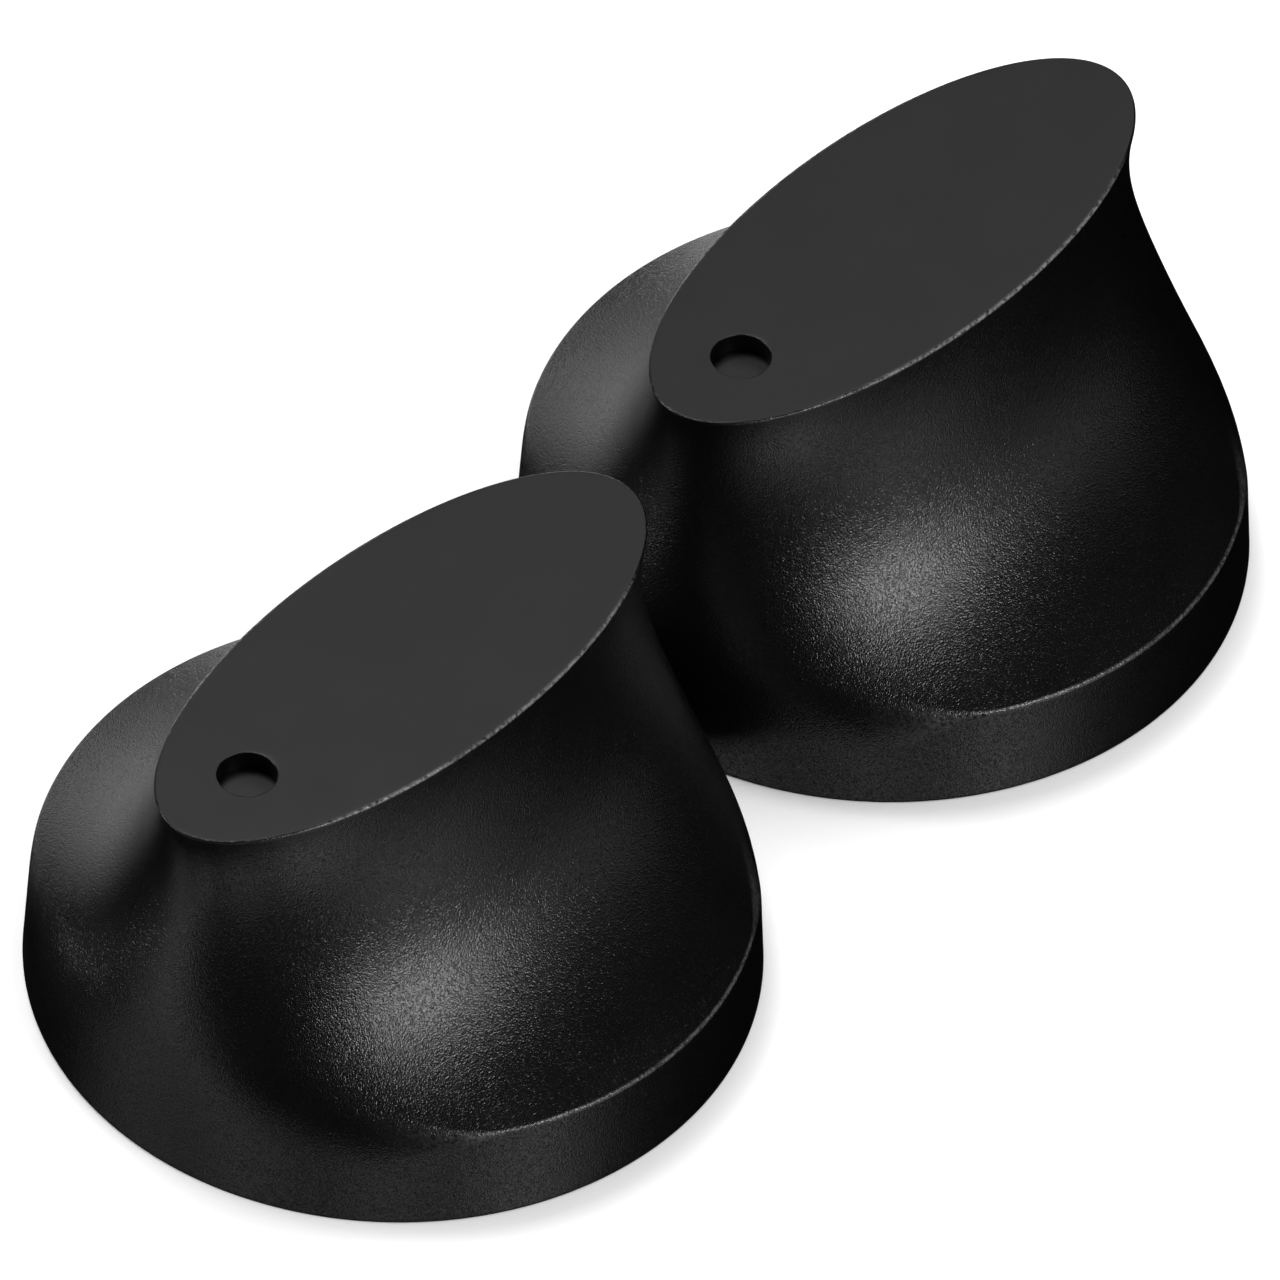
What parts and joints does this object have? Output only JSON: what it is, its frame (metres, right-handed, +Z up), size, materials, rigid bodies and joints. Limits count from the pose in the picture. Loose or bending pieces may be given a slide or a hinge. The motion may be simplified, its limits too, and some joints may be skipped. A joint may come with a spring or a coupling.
{
  "type": "control knob pair",
  "caption": "Pair of black bar-grip rotary control knobs: round base, raised elliptical grip with a blind marker recess, sprung D socket for a spindle.",
  "frame": {"origin": "on the plane of both rims, midway between the two knob axes", "axes": "+Z up, along the knob axes; +X along both grips, from the marker end of each grip to its plain end; the rear knob stands at +X, 1.9 mm further towards +Y than the front one"},
  "size_m": [0.0814, 0.042, 0.0232],
  "materials": {
    "shell_plastic": "black ABS with a fine spark-eroded grain",
    "hub_nylon": "natural glass-filled nylon, satin",
    "clip_steel": "spring steel strip",
    "ring_steel": "zinc-plated spring wire"
  },
  "bodies": {
    "front_knob": {"front_shell": "shell_plastic", "front_hub": "hub_nylon", "front_spring_clip": "clip_steel", "front_clamp_ring": "ring_steel"},
    "rear_knob": {"rear_shell": "shell_plastic", "rear_hub": "hub_nylon", "rear_spring_clip": "clip_steel", "rear_clamp_ring": "ring_steel"}
  },
  "joints": [
    {"name": "rear_knob_turn", "type": "hinge", "parent": "front_knob", "child": "rear_knob", "pos_m": [0.0207, 0.00095, 0], "axis": [0, 0, 1], "continuous": true}
  ]
}
